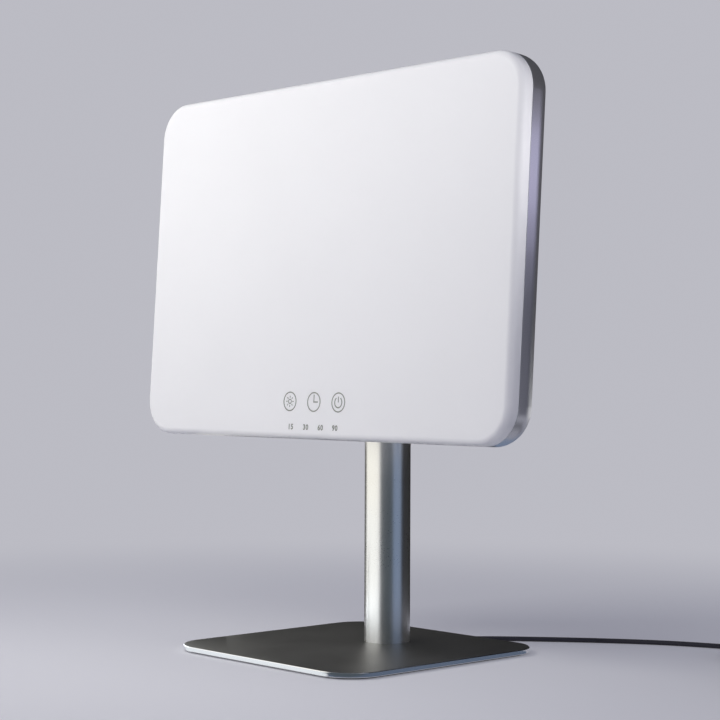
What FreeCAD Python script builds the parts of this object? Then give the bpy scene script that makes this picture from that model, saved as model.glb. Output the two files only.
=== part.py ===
import FreeCAD, Part
import math
import os
from FreeCAD import Placement, Rotation, Vector

# Light therapy lamp: a thin upright light panel that tilts at the top of a round post on a
# square metal plate. All sizes are in millimetres.
#
# Frame: X to the lamp's right as one faces it, Y to the back, Z up. The origin is the middle
# of the plate's footprint, on the surface that the lamp stands on. The panel's pieces are
# made upright with the tilt axis at the origin, and in_panel() leans and lifts them.

# ------------------------------------------------------------------ driving dimensions
# Fits
running_clearance = 0.05  # radial, where one piece turns in another
joint_clearance = 0.02  # glued, pressed or clamped faces
loose_clearance = 0.15  # a screw through a plain hole, a lead through a wall

# Base
plate_side = 164.0
plate_thickness = 3.0
plate_corner_radius = 23.5
plate_chamfer = 0.45
pad_thickness = 1.0
pad_inset = 3.5
channel_slack = 2.0  # the cord channel is this much wider than the cord
channel_headroom = 0.2
channel_flare_length = 42.0
channel_flare_half_width = 22.0

# Post
post_diameter = 28.6
post_wall = 1.5
post_offset = 26.3  # the post stands this far behind the middle of the plate
foot_height = 16.0
foot_screw_count = 3
foot_screw_diameter = 4.0
foot_screw_head_diameter = 8.0
foot_screw_circle_radius = 9.0
foot_screw_depth = 11.0
first_foot_screw_angle = 30.0

# Cord and its relief
cord_diameter = 3.0
relief_flange_diameter = 12.0
relief_flange_thickness = 2.0
relief_nose_diameter = 7.0
relief_nose_length = 8.0
relief_diameter = 8.0
relief_lift = 0.3
relief_flat = 3.2  # from the post's axis to the flat that the cord leaves

# Tilt hinge
pivot_height = 236.1
pivot_to_front = 61.0  # from the tilt axis to the panel's front face
tilt_at_rest = 3.56
tilt_forward_limit = 12.0
tilt_back_limit = 26.0
cheek_half_width = 10.0
head_collar = 3.0
head_shank_length = 18.0
head_below_pivot = 20.3  # from the tilt axis down to the top of the tube
head_chamfer = 1.5
lead_bore_diameter = 8.0
lead_slot_below_pivot = 8.0
lead_slot_behind_axis = 4.0
lead_end_gap = 0.6
set_screw_diameter = 4.0
set_screw_angle = 35.0
set_screw_drop = 9.0
set_screw_length = 8.0
pivot_shoulder_diameter = 6.0
pivot_thread_diameter = 5.0
pivot_head_diameter = 10.0
pivot_head_height = 3.0
pivot_socket_across_flats = 3.0
pivot_socket_depth = 1.6
friction_washer_thickness = 1.0
friction_washer_diameter = 12.8
spring_washer_thickness = 0.8
spring_washer_diameter = 11.0
ear_thickness = 3.0
ear_radius = 12.2
ear_root_half_height = 20.0
web_size = 64.0
web_thickness = 4.0
web_corner_radius = 8.0
web_chamfer = 0.8
web_hole_diameter = 13.0
stop_pin_diameter = 3.0
stop_pin_radius = 8.5  # from the tilt axis
stop_pin_depth = 5.0
stop_clearance = 0.15
yoke_screw_diameter = 4.0
yoke_screw_head_diameter = 8.0
yoke_screw_head_height = 2.8
yoke_screw_spacing = 48.0
yoke_screw_overrun = 2.0

# Panel
panel_width = 324.0
panel_height = 218.0
panel_depth = 25.4
panel_corner_radius = 22.5
diffuser_depth = 8.4
diffuser_wall = 2.2
front_edge_radius = 4.2
shell_wall = 2.0
back_edge_radius = 11.0
lip_height = 2.0
lip_thickness = 1.2
lip_root = 2.6
lip_root_overlap = 1.1  # how far the lip's root runs out into the shell's side
lip_clearance = 0.1
backing_plate_size = 70.0
backing_plate_thickness = 2.0
grommet_body_diameter = 8.0
grommet_flange_diameter = 12.0
grommet_flange_thickness = 1.2
case_screw_diameter = 2.9
case_screw_head_diameter = 5.6
case_screw_head_height = 2.0
case_screw_recess = 6.0
case_screw_bite = 3.5
case_boss_radius = 4.0
case_boss_inset = 10.0
case_boss_side_height = 60.0
case_boss_top_offset = 110.0
ear_block_front = 3.5

# Light engine
board_depth = 11.0  # from the panel's front face to the boards' front faces
board_thickness = 1.6
board_margin = 15.5
board_corner_radius = 12.0
reflector_thickness = 0.5
reflector_wall = 0.8
reflector_front_gap = 0.8
led_pitch_x = 24.0
led_pitch_z = 22.0
led_width = 3.5
led_height = 2.8
led_thickness = 0.8
led_window_clearance = 0.4
board_screw_diameter = 3.0
board_screw_head_diameter = 5.5
board_screw_head_height = 2.0
board_screw_bite = 5.0
board_boss_radius = 3.5

# Touch and timer control
control_centre_x = 5.1
control_width = 80.0
control_bottom_gap = 1.3  # from the board's lower edge to the diffuser's rim
control_height = 27.5
control_clearance = 2.0
control_screw_diameter = 2.5
control_screw_head_diameter = 4.5
control_screw_head_height = 1.6
control_screw_inset = 4.0
control_boss_radius = 3.0
touch_pitch = 21.7
touch_row_rise = 22.3  # above the panel's lower edge
touch_contact_diameter = 9.0
timer_pitch = 13.2
timer_row_rise = 7.1
timer_led_size = 1.6
timer_led_thickness = 0.8
timer_guide_diameter = 3.0
timer_guide_gap = 0.3
connector_width = 8.0
connector_height = 7.0
connector_thickness = 6.0
connector_drop = 1.0
lead_bend_radius = 3.6
jumper_width = 14.0
jumper_height = 8.0
jumper_thickness = 1.5
jumper_inset = 11.0  # from the control board's right end to the jumper
choke_side = 8.0
choke_height = 4.5
capacitor_diameter = 6.3
capacitor_height = 5.5
driver_side = 5.0
driver_height = 1.8
controller_side = 7.0
controller_height = 1.0

# Supply cord on the table: the points of its middle line, chosen along the way it lies.
cord_route = [
    (0.0, 29.5, 1.5),
    (0.0, 44.5, 1.5),
    (4.2, 60.0, 1.5),
    (10.6, 74.0, 1.5),
    (20.0, 88.5, 1.5),
    (32.5, 101.5, 1.5),
    (55.0, 121.5, 1.5),
    (82.0, 143.5, 1.5),
    (111.0, 163.5, 1.5),
    (142.0, 177.0, 1.5),
    (169.4, 182.5, 2.1),
]
tail_route = [
    (203.7, 179.4, 10.4),
    (217.3, 170.6, 8.8),
    (229.3, 159.1, 10.5),
    (237.5, 146.4, 14.6),
]
cord_run_share = 0.45  # of the shorter run that each bend takes up
coil_centre = (186.4, 163.6)
coil_inner_radius = 12.0
coil_turns_wide = 4
coil_turns_high = 4
tie_thickness = 0.8
tie_half_angle = 12.0
tie_angle = 300.0
tie_slack = 0.05

# Mains adapter at the cord's far end
adapter_width = 45.0
adapter_length = 72.0
adapter_height = 30.0
adapter_edge_radius = 4.0
adapter_heading = -60.0
adapter_relief_length = 20.0
adapter_relief_tip_diameter = 4.8
adapter_relief_root_diameter = 8.0
adapter_relief_tip = (236.8, 147.5, 15.0)
blade_spacing = 12.7
blade_width = 6.35
blade_thickness = 1.5
blade_length = 17.0
blade_root = 6.0
blade_from_end = 16.0

# ------------------------------------------------------------------ derived places
X = Vector(1, 0, 0)
Y = Vector(0, 1, 0)
Z = Vector(0, 0, 1)
plate_bottom = pad_thickness
plate_top = plate_bottom + plate_thickness
tube_top = pivot_height - head_below_pivot
tube_inner_radius = post_diameter / 2 - post_wall
cord_radius = cord_diameter / 2
ear_inner = cheek_half_width + friction_washer_thickness + joint_clearance
ear_outer = ear_inner + ear_thickness
back_face = panel_depth - pivot_to_front
web_back = back_face + web_thickness
board_back = board_depth + board_thickness
shell_floor = panel_depth - shell_wall
backing_front = shell_floor - backing_plate_thickness
board_half_width = panel_width / 2 - board_margin
board_half_height = panel_height / 2 - board_margin
control_low = -panel_height / 2 + diffuser_wall + control_bottom_gap
control_high = control_low + control_height
touch_row = touch_row_rise - panel_height / 2
timer_row = timer_row_rise - panel_height / 2
touch_places = [control_centre_x + n * touch_pitch for n in (-1, 0, 1)]
timer_places = [control_centre_x + n * timer_pitch for n in (-1.5, -0.5, 0.5, 1.5)]
head_top = pivot_height + ear_radius
coil_base = tie_thickness + tie_slack
coil_outer_radius = coil_inner_radius + coil_turns_wide * cord_diameter
coil_height = coil_turns_high * cord_diameter


# ------------------------------------------------------------------ shared shapes
parallel = 0.999  # cosine above which an edge counts as running along an axis
in_plane = 1e-4  # how near to a plane an edge's points must be to count as in it


def block(low, high):
    """A box between two corners."""
    size = Vector(*high) - Vector(*low)
    return Part.makeBox(size.x, size.y, size.z, Vector(*low))


def rod(radius, start, end):
    """A cylinder of that radius from one point to another."""
    way = Vector(*end) - Vector(*start)
    return Part.makeCylinder(radius, way.Length, Vector(*start), way)


def ring(outer, inner, start, end):
    """A round sleeve between two points."""
    return rod(outer, start, end).cut(rod(inner, start, end))


def edges_along(shape, axis):
    """The straight edges that run along an axis."""
    straight = [e for e in shape.Edges if isinstance(e.Curve, Part.Line)]
    return [e for e in straight if abs(e.Curve.Direction.dot(axis)) > parallel]


def edges_at(shape, axis, place):
    """The edges that lie whole in the plane at that place on an axis."""
    found = []
    for edge in shape.Edges:
        points = edge.discretize(3)
        if all(abs(point.dot(axis) - place) < in_plane for point in points):
            found.append(edge)
    return found


def slab(width, depth, corner, low, high):
    """A level plate about the Z axis with rounded corners, from z low to z high."""
    plain = block((-width / 2, -depth / 2, low), (width / 2, depth / 2, high))
    return plain.makeFillet(corner, edges_along(plain, Z))


def panel_slab(half_width, half_height, corner, front, back):
    """An upright plate with rounded corners between two depths behind the panel's front."""
    plain = block(
        (-half_width, front - pivot_to_front, -half_height),
        (half_width, back - pivot_to_front, half_height),
    )
    return plain.makeFillet(corner, edges_along(plain, Y))


def depth_rod(radius, x, z, front, back):
    """A cylinder across the panel's depth, between two depths behind the front."""
    return rod(radius, (x, front - pivot_to_front, z), (x, back - pivot_to_front, z))


def depth_block(low_x, high_x, low_z, high_z, front, back):
    """A box between two depths behind the panel's front."""
    return block(
        (low_x, front - pivot_to_front, low_z), (high_x, back - pivot_to_front, high_z)
    )


def joined(shapes):
    """One solid made of pieces that overlap or touch."""
    return shapes[0].fuse(shapes[1:]).removeSplitter()


def turned(profile, centre):
    """A solid of revolution about a vertical axis; the profile holds (radius, z) corners."""
    points = [Vector(radius, 0, z) for radius, z in profile]
    face = Part.Face(Part.makePolygon(points + points[:1]))
    solid = face.revolve(Vector(0, 0, 0), Z, 360)
    solid.translate(Vector(*centre))
    return solid


def round_path(points, name):
    """Straight runs joined by tangent arcs, as one wire."""
    corners = [Vector(*p) for p in points]
    edges = []
    start = corners[0]
    radii = []
    for before, corner, after in zip(corners, corners[1:], corners[2:]):
        back = before - corner
        ahead = after - corner
        turn = math.pi - back.getAngle(ahead)
        cut = cord_run_share * min(back.Length, ahead.Length)
        radius = cut / math.tan(turn / 2)
        radii.append(radius)
        back.normalize()
        ahead.normalize()
        enter = corner + back * cut
        leave = corner + ahead * cut
        inward = back + ahead
        inward.normalize()
        middle = corner + inward * (math.hypot(radius, cut) - radius)
        edges.append(Part.LineSegment(start, enter).toShape())
        edges.append(Part.Arc(enter, middle, leave).toShape())
        start = leave
    edges.append(Part.LineSegment(start, corners[-1]).toShape())
    print(name, "bend radii:", [round(r, 1) for r in radii])
    return Part.Wire(edges)


def swept_cord(wire, name):
    """A round cord along a wire, with its volume checked against section times length."""
    start = wire.Edges[0].Vertexes[0].Point
    way = wire.Edges[0].tangentAt(wire.Edges[0].FirstParameter)
    section = Part.Wire(Part.makeCircle(cord_radius, start, way))
    cord = wire.makePipeShell([section], True, False)
    expected = math.pi * cord_radius**2 * wire.Length
    print(name, "length", round(wire.Length, 1), "volume share", round(cord.Volume / expected, 4))
    return cord


def in_panel(shape):
    """Leans a panel piece back about the tilt axis and lifts it to the post's head."""
    lean = Placement(
        Vector(0, post_offset, pivot_height), Rotation(X, -tilt_at_rest)
    )
    return shape.transformed(lean.toMatrix(), True)


def at_post(shape):
    """Moves a piece made about the Z axis to the post's axis."""
    shape.translate(Vector(0, post_offset, 0))
    return shape


# ------------------------------------------------------------------ base
def cord_channel(low, high):
    """The way out for the cord: a slot behind the post that flares at the rear edge."""
    half = (cord_diameter + channel_slack) / 2
    rear = plate_side / 2
    flare_start = rear - channel_flare_length
    corners = [
        (-half, post_offset),
        (half, post_offset),
        (half, flare_start),
        (channel_flare_half_width, rear),
        (channel_flare_half_width, rear + plate_corner_radius),
        (-channel_flare_half_width, rear + plate_corner_radius),
        (-channel_flare_half_width, rear),
        (-half, flare_start),
        (-half, post_offset),
    ]
    outline = Part.makePolygon([Vector(x, y, low) for x, y in corners])
    return Part.Face(outline).extrude(Vector(0, 0, high - low))


def foot_screw_places():
    """The screw places round the post's axis, clear of the cord channel."""
    step = 360.0 / foot_screw_count
    angles = [math.radians(first_foot_screw_angle + n * step) for n in range(foot_screw_count)]
    return [
        (foot_screw_circle_radius * math.cos(a), foot_screw_circle_radius * math.sin(a))
        for a in angles
    ]


def countersunk_screw(x, y, clearance):
    """A countersunk screw that points up, with its head's face level with the plate."""
    shank = foot_screw_diameter / 2 + clearance
    head = foot_screw_head_diameter / 2 + clearance
    depth = head - shank
    cone = Part.makeCone(head, shank, depth, Vector(x, y, plate_bottom), Z)
    top = plate_top + foot_screw_depth
    return joined([cone, rod(shank, (x, y, plate_bottom), (x, y, top))])


def make_base_plate():
    plate = slab(plate_side, plate_side, plate_corner_radius, plate_bottom, plate_top)
    rims = edges_at(plate, Z, plate_bottom) + edges_at(plate, Z, plate_top)
    plate = plate.makeChamfer(plate_chamfer, rims)
    groove_top = cord_diameter + channel_headroom
    relief_hole = rod(
        relief_diameter / 2 + joint_clearance, (0, 0, plate_bottom), (0, 0, plate_top)
    )
    cuts = [cord_channel(plate_bottom, groove_top), at_post(relief_hole)]
    for x, y in foot_screw_places():
        cuts.append(at_post(countersunk_screw(x, y, loose_clearance)))
    return plate.cut(cuts)


def make_base_pad():
    side = plate_side - 2 * pad_inset
    pad = slab(side, side, plate_corner_radius - pad_inset, 0, pad_thickness)
    middle = rod(post_diameter / 2, (0, 0, 0), (0, 0, pad_thickness))
    return pad.cut([at_post(middle), cord_channel(0, pad_thickness)])


def make_base_screws():
    return Part.makeCompound(
        [at_post(countersunk_screw(x, y, 0)) for x, y in foot_screw_places()]
    )


def relief_outline(clearance):
    """Radius and height corners of the cord relief, grown by a clearance."""
    flange_top = plate_top + relief_flange_thickness + clearance
    nose_top = plate_top + relief_flange_thickness + relief_nose_length
    return [
        (0, relief_lift),
        (relief_diameter / 2 + clearance, relief_lift),
        (relief_diameter / 2 + clearance, plate_top),
        (relief_flange_diameter / 2 + clearance, plate_top),
        (relief_flange_diameter / 2 + clearance, flange_top),
        (relief_nose_diameter / 2 + clearance, flange_top),
        (relief_nose_diameter / 2 + clearance, nose_top),
        (0, nose_top),
    ]


def make_cord_relief():
    relief = turned(relief_outline(0), (0, 0, 0))
    side = relief_diameter
    flat = block((-side, relief_flat, 0), (side, relief_flat + side, plate_top))
    return at_post(relief.cut(flat))


# ------------------------------------------------------------------ post
def make_post_foot():
    top = plate_top + foot_height
    body = rod(tube_inner_radius - joint_clearance, (0, 0, plate_top), (0, 0, top))
    bore = rod(relief_nose_diameter / 2 + joint_clearance, (0, 0, plate_top), (0, 0, top))
    cuts = [bore, turned(relief_outline(joint_clearance), (0, 0, 0))]
    cuts += [countersunk_screw(x, y, 0) for x, y in foot_screw_places()]
    return at_post(body.cut(cuts))


def set_screw_places():
    """The start and end of each set screw at the back of the tube."""
    height = tube_top - set_screw_drop
    outer = post_diameter / 2 - post_wall / 2
    inner = outer - set_screw_length
    places = []
    for side in (-1, 1):
        angle = math.radians(90 + side * set_screw_angle)
        way = (math.cos(angle), math.sin(angle))
        places.append(
            ((inner * way[0], inner * way[1], height), (outer * way[0], outer * way[1], height))
        )
    return places


def set_screw_hole(start, end):
    """A tapped hole along a set screw, open to the outside of the tube."""
    way = Vector(*end) - Vector(*start)
    mouth = Vector(*end) + way
    return rod(set_screw_diameter / 2, start, (mouth.x, mouth.y, mouth.z))


def make_post_tube():
    tube = ring(post_diameter / 2, tube_inner_radius, (0, 0, plate_top), (0, 0, tube_top))
    return at_post(tube.cut([set_screw_hole(*place) for place in set_screw_places()]))


def make_post_head():
    """Turned plug with two flats for the yoke, a bore for the lead and a slot at the front."""
    collar_top = tube_top + head_collar
    radius = post_diameter / 2
    body = turned(
        [
            (0, tube_top - head_shank_length),
            (tube_inner_radius - joint_clearance, tube_top - head_shank_length),
            (tube_inner_radius - joint_clearance, tube_top),
            (radius, tube_top),
            (radius, head_top - head_chamfer),
            (radius - head_chamfer, head_top),
            (0, head_top),
        ],
        (0, 0, 0),
    )
    low_slot = pivot_height - lead_slot_below_pivot
    half_slot = lead_bore_diameter / 2
    cuts = [
        rod(half_slot, (0, 0, tube_top - head_shank_length), (0, 0, low_slot)),
        block(
            (-half_slot, -post_diameter, low_slot),
            (half_slot, lead_slot_behind_axis, head_top + head_chamfer),
        ),
        rod(
            pivot_thread_diameter / 2,
            (-cheek_half_width, 0, pivot_height),
            (cheek_half_width, 0, pivot_height),
        ),
        rod(
            stop_pin_diameter / 2,
            (cheek_half_width - stop_pin_depth, 0, pivot_height - stop_pin_radius),
            (cheek_half_width, 0, pivot_height - stop_pin_radius),
        ),
    ]
    for side in (-1, 1):
        inside = side * cheek_half_width
        outside = side * post_diameter
        cuts.append(
            block(
                (min(inside, outside), -post_diameter, collar_top),
                (max(inside, outside), post_diameter, head_top + head_chamfer),
            )
        )
    cuts += [set_screw_hole(*place) for place in set_screw_places()]
    return at_post(body.cut(cuts))


def make_head_set_screws():
    return Part.makeCompound(
        [at_post(rod(set_screw_diameter / 2, *place)) for place in set_screw_places()]
    )


def make_post_lead():
    """The lead's upright run inside the post, from the relief to just below the tilt axis."""
    bottom = plate_top + relief_flange_thickness + relief_nose_length
    top = pivot_height - cord_radius - lead_end_gap
    return at_post(rod(cord_radius, (0, 0, bottom), (0, 0, top)))


# ------------------------------------------------------------------ tilt hinge
def at_pivot(shape):
    """Lifts a piece made about the tilt axis to the post's head."""
    shape.translate(Vector(0, post_offset, pivot_height))
    return shape


def across(radius, side, near, far):
    """A cylinder along the tilt axis, on one side of the head."""
    low, high = sorted((side * near, side * far))
    return rod(radius, (low, 0, 0), (high, 0, 0))


def make_friction_washers():
    washers = []
    for side in (-1, 1):
        far = cheek_half_width + friction_washer_thickness
        washer = across(friction_washer_diameter / 2, side, cheek_half_width, far)
        hole = across(pivot_shoulder_diameter / 2 + joint_clearance, side, cheek_half_width, far)
        washers.append(at_pivot(washer.cut(hole)))
    return Part.makeCompound(washers)


def make_spring_washers():
    washers = []
    for side in (-1, 1):
        near = ear_outer + joint_clearance
        far = near + spring_washer_thickness
        washer = across(spring_washer_diameter / 2, side, near, far)
        hole = across(pivot_shoulder_diameter / 2 + joint_clearance, side, near, far)
        washers.append(at_pivot(washer.cut(hole)))
    return Part.makeCompound(washers)


def make_pivot_screws():
    """A shoulder screw on each side: thread in the head, shoulder in the ear, socket head."""
    screws = []
    half_slot = lead_bore_diameter / 2
    seat = ear_outer + joint_clearance + spring_washer_thickness
    socket_radius = pivot_socket_across_flats / math.sqrt(3)
    for side in (-1, 1):
        socket = Part.Face(
            Part.makePolygon(
                [
                    Vector(
                        side * (seat + pivot_head_height),
                        socket_radius * math.cos(math.radians(60 * n)),
                        socket_radius * math.sin(math.radians(60 * n)),
                    )
                    for n in range(7)
                ]
            )
        ).extrude(Vector(-side * pivot_socket_depth, 0, 0))
        screw = joined(
            [
                across(pivot_thread_diameter / 2, side, half_slot, cheek_half_width),
                across(pivot_shoulder_diameter / 2, side, cheek_half_width, seat),
                across(pivot_head_diameter / 2, side, seat, seat + pivot_head_height),
            ]
        )
        screws.append(at_pivot(screw.cut(socket)))
    return Part.makeCompound(screws)


def make_stop_pin():
    """A pin in the right cheek that runs in the ear's curved slot and ends the tilt."""
    start = cheek_half_width - stop_pin_depth
    end = ear_outer - joint_clearance
    return at_pivot(
        rod(stop_pin_diameter / 2, (start, 0, -stop_pin_radius), (end, 0, -stop_pin_radius))
    )


def polar(radius, angle, x):
    """A point at an angle about the tilt axis, counted from the back towards the top."""
    return Vector(x, radius * math.cos(angle), radius * math.sin(angle))


def stop_slot():
    """The curved slot round the tilt axis that the stop pin runs in."""
    half = stop_pin_diameter / 2 + stop_clearance
    first = math.radians(-90 + tilt_at_rest - tilt_forward_limit)
    last = math.radians(-90 + tilt_at_rest + tilt_back_limit)
    middle = (first + last) / 2
    inner = stop_pin_radius - half
    outer = stop_pin_radius + half
    cap = half / stop_pin_radius
    low = ear_inner - joint_clearance
    ends = ((inner, first), (outer, first), (outer, last), (inner, last))
    corner = [polar(radius, angle, low) for radius, angle in ends]
    edges = [
        Part.Arc(corner[0], polar(stop_pin_radius, first - cap, low), corner[1]).toShape(),
        Part.Arc(corner[1], polar(outer, middle, low), corner[2]).toShape(),
        Part.Arc(corner[2], polar(stop_pin_radius, last + cap, low), corner[3]).toShape(),
        Part.Arc(corner[3], polar(inner, middle, low), corner[0]).toShape(),
    ]
    return Part.Face(Part.Wire(edges)).extrude(Vector(ear_thickness + 2 * joint_clearance, 0, 0))


def make_tilt_yoke():
    """A square web on the panel's back with two ears that straddle the post's head."""
    half = web_size / 2
    web = block((-half, back_face, -half), (half, web_back, half))
    web = web.makeFillet(web_corner_radius, edges_along(web, Y))
    web = web.makeChamfer(web_chamfer, edges_at(web, Y, web_back))
    distance = math.hypot(web_back, ear_root_half_height)
    lean = math.atan2(ear_root_half_height, web_back) - math.acos(ear_radius / distance)
    touch = (ear_radius * math.cos(lean), ear_radius * math.sin(lean))
    pieces = [web]
    for side in (-1, 1):
        near = min(side * ear_inner, side * ear_outer)
        arm = Part.Face(
            Part.makePolygon(
                [
                    Vector(near, back_face, -ear_root_half_height),
                    Vector(near, back_face, ear_root_half_height),
                    Vector(near, web_back, ear_root_half_height),
                    Vector(near, touch[0], touch[1]),
                    Vector(near, touch[0], -touch[1]),
                    Vector(near, web_back, -ear_root_half_height),
                    Vector(near, back_face, -ear_root_half_height),
                ]
            )
        ).extrude(Vector(ear_thickness, 0, 0))
        pieces += [arm, across(ear_radius, side, ear_inner, ear_outer)]
    yoke = joined(pieces)
    bore = pivot_shoulder_diameter / 2 + running_clearance
    cuts = [rod(bore, (-ear_outer, 0, 0), (ear_outer, 0, 0)), stop_slot()]
    cuts.append(rod(web_hole_diameter / 2, (0, back_face, 0), (0, web_back, 0)))
    for x, z in yoke_screw_places():
        hole = yoke_screw_diameter / 2 + loose_clearance
        cuts.append(rod(hole, (x, back_face, z), (x, web_back, z)))
    return in_panel(yoke.cut(cuts))


def yoke_screw_places():
    reach = yoke_screw_spacing / 2
    return [(x, z) for x in (-reach, reach) for z in (-reach, reach)]


def make_yoke_screws():
    """Pan-head screws through the web and the shell into the backing plate."""
    tip = backing_front - yoke_screw_overrun - pivot_to_front
    screws = []
    for x, z in yoke_screw_places():
        shank = rod(yoke_screw_diameter / 2, (x, tip, z), (x, web_back, z))
        top = web_back + yoke_screw_head_height
        head = rod(yoke_screw_head_diameter / 2, (x, web_back, z), (x, top, z))
        screws.append(in_panel(joined([shank, head])))
    return Part.makeCompound(screws)


# ------------------------------------------------------------------ panel case
def case_boss_places():
    """The places of the case screws: two on each upright side and two on each level side."""
    side = panel_width / 2 - case_boss_inset
    rise = panel_height / 2 - case_boss_inset
    sides = [(s * side, t * case_boss_side_height) for s in (-1, 1) for t in (-1, 1)]
    levels = [(s * case_boss_top_offset, t * rise) for s in (-1, 1) for t in (-1, 1)]
    return sides + levels


def ear_blocks(clearance):
    """Blocks inside the diffuser's rim that the case screws bite into."""
    reach = case_boss_radius + clearance
    blocks = []
    for x, z in case_boss_places():
        low_x, high_x, low_z, high_z = x - reach, x + reach, z - reach, z + reach
        if abs(x) > case_boss_top_offset:
            rim = math.copysign(panel_width / 2 - diffuser_wall / 2, x)
            low_x, high_x = min(low_x, rim), max(high_x, rim)
        else:
            rim = math.copysign(panel_height / 2 - diffuser_wall / 2, z)
            low_z, high_z = min(low_z, rim), max(high_z, rim)
        blocks.append(depth_block(low_x, high_x, low_z, high_z, ear_block_front, diffuser_depth))
    return blocks


def make_diffuser():
    """Opal tray: a flat front with softly rounded edges and a low rim."""
    half_width, half_height = panel_width / 2, panel_height / 2
    outer = panel_slab(half_width, half_height, panel_corner_radius, 0, diffuser_depth)
    outer = outer.makeFillet(front_edge_radius, edges_at(outer, Y, -pivot_to_front))
    hollow = panel_slab(
        half_width - diffuser_wall,
        half_height - diffuser_wall,
        panel_corner_radius - diffuser_wall,
        diffuser_wall,
        diffuser_depth,
    )
    hollow = hollow.makeFillet(
        front_edge_radius - diffuser_wall, edges_at(hollow, Y, diffuser_wall - pivot_to_front)
    )
    tray = joined([outer.cut(hollow)] + ear_blocks(0))
    holes = [
        depth_rod(case_screw_diameter / 2, x, z, diffuser_depth - case_screw_bite, diffuser_depth)
        for x, z in case_boss_places()
    ]
    return in_panel(tray.cut(holes))


def shell_outside():
    """The shell's outer form: straight sides and a fully rounded back edge."""
    form = panel_slab(
        panel_width / 2, panel_height / 2, panel_corner_radius, diffuser_depth, panel_depth
    )
    return form.makeFillet(back_edge_radius, edges_at(form, Y, back_face))


def lip_ring(gap, front, back):
    """A ring that stands inside the diffuser's rim, gap away from it."""
    outer = (
        panel_width / 2 - diffuser_wall - gap,
        panel_height / 2 - diffuser_wall - gap,
        panel_corner_radius - diffuser_wall - gap,
    )
    inside = [value - lip_thickness for value in outer]
    return panel_slab(*outer, front, back).cut(panel_slab(*inside, front, back))


def make_rear_shell():
    """Silver back cover with a locating lip, screw bosses and the yoke's seat."""
    outside = shell_outside()
    hollow = panel_slab(
        panel_width / 2 - shell_wall,
        panel_height / 2 - shell_wall,
        panel_corner_radius - shell_wall,
        diffuser_depth,
        shell_floor,
    )
    inner_round = back_edge_radius - shell_wall
    hollow = hollow.makeFillet(inner_round, edges_at(hollow, Y, shell_floor - pivot_to_front))
    lip = lip_ring(lip_clearance, diffuser_depth - lip_height, diffuser_depth + lip_root)
    lip = lip.cut(ear_blocks(lip_clearance))
    root = lip_ring(-lip_root_overlap, diffuser_depth, diffuser_depth + lip_root)
    bosses = [
        depth_rod(case_boss_radius, x, z, diffuser_depth, panel_depth)
        for x, z in case_boss_places()
    ]
    bosses += [
        depth_rod(board_boss_radius, x, z, board_back, panel_depth) for x, z in board_screw_places()
    ]
    bosses += [
        depth_rod(control_boss_radius, x, z, board_back, panel_depth)
        for x, z in control_screw_places()
    ]
    solids = [outside.cut(hollow), lip, root.common(outside)]
    shell = joined(solids + [boss.common(outside) for boss in bosses])
    seat = panel_depth - case_screw_recess
    cuts = []
    for x, z in case_boss_places():
        hole = case_screw_diameter / 2 + loose_clearance
        recess = case_screw_head_diameter / 2 + loose_clearance
        cuts.append(depth_rod(hole, x, z, diffuser_depth, seat))
        cuts.append(depth_rod(recess, x, z, seat, panel_depth))
    for x, z in board_screw_places():
        hole = board_screw_diameter / 2
        cuts.append(depth_rod(hole, x, z, board_back, board_back + board_screw_bite))
    for x, z in control_screw_places():
        hole = control_screw_diameter / 2
        cuts.append(depth_rod(hole, x, z, board_back, board_back + board_screw_bite))
    for x, z in yoke_screw_places():
        hole = yoke_screw_diameter / 2 + loose_clearance
        cuts.append(depth_rod(hole, x, z, shell_floor, panel_depth))
    lead_hole = grommet_body_diameter / 2 + joint_clearance
    cuts.append(depth_rod(lead_hole, 0, 0, shell_floor, panel_depth))
    return in_panel(shell.cut(cuts))


def make_case_screws():
    seat = panel_depth - case_screw_recess
    screws = []
    for x, z in case_boss_places():
        tip = diffuser_depth - case_screw_bite
        shank = depth_rod(case_screw_diameter / 2, x, z, tip, seat)
        head_top_depth = seat + case_screw_head_height
        head = depth_rod(case_screw_head_diameter / 2, x, z, seat, head_top_depth)
        screws.append(in_panel(joined([shank, head])))
    return Part.makeCompound(screws)


def make_backing_plate():
    """Steel plate inside the shell, tapped for the yoke's screws."""
    half = backing_plate_size / 2
    plate = panel_slab(half, half, web_corner_radius, backing_front, shell_floor)
    holes = [
        depth_rod(yoke_screw_diameter / 2, x, z, backing_front, shell_floor)
        for x, z in yoke_screw_places()
    ]
    lead_hole = grommet_body_diameter / 2 + joint_clearance
    holes.append(depth_rod(lead_hole, 0, 0, backing_front, shell_floor))
    return in_panel(plate.cut(holes))


def make_lead_grommet():
    """Rubber bush through the shell and the backing plate, with a flange on each side."""
    front = backing_front - grommet_flange_thickness
    back = panel_depth + grommet_flange_thickness
    flange = grommet_flange_diameter / 2
    bush = joined(
        [
            depth_rod(flange, 0, 0, front, backing_front),
            depth_rod(grommet_body_diameter / 2, 0, 0, backing_front, panel_depth),
            depth_rod(flange, 0, 0, panel_depth, back),
        ]
    )
    bore = depth_rod(cord_radius + joint_clearance, 0, 0, front, back)
    return in_panel(bush.cut(bore))


def lead_depth():
    """The depth of the lead's run behind the light board, at the connector's middle."""
    return board_back + connector_thickness / 2


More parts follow.
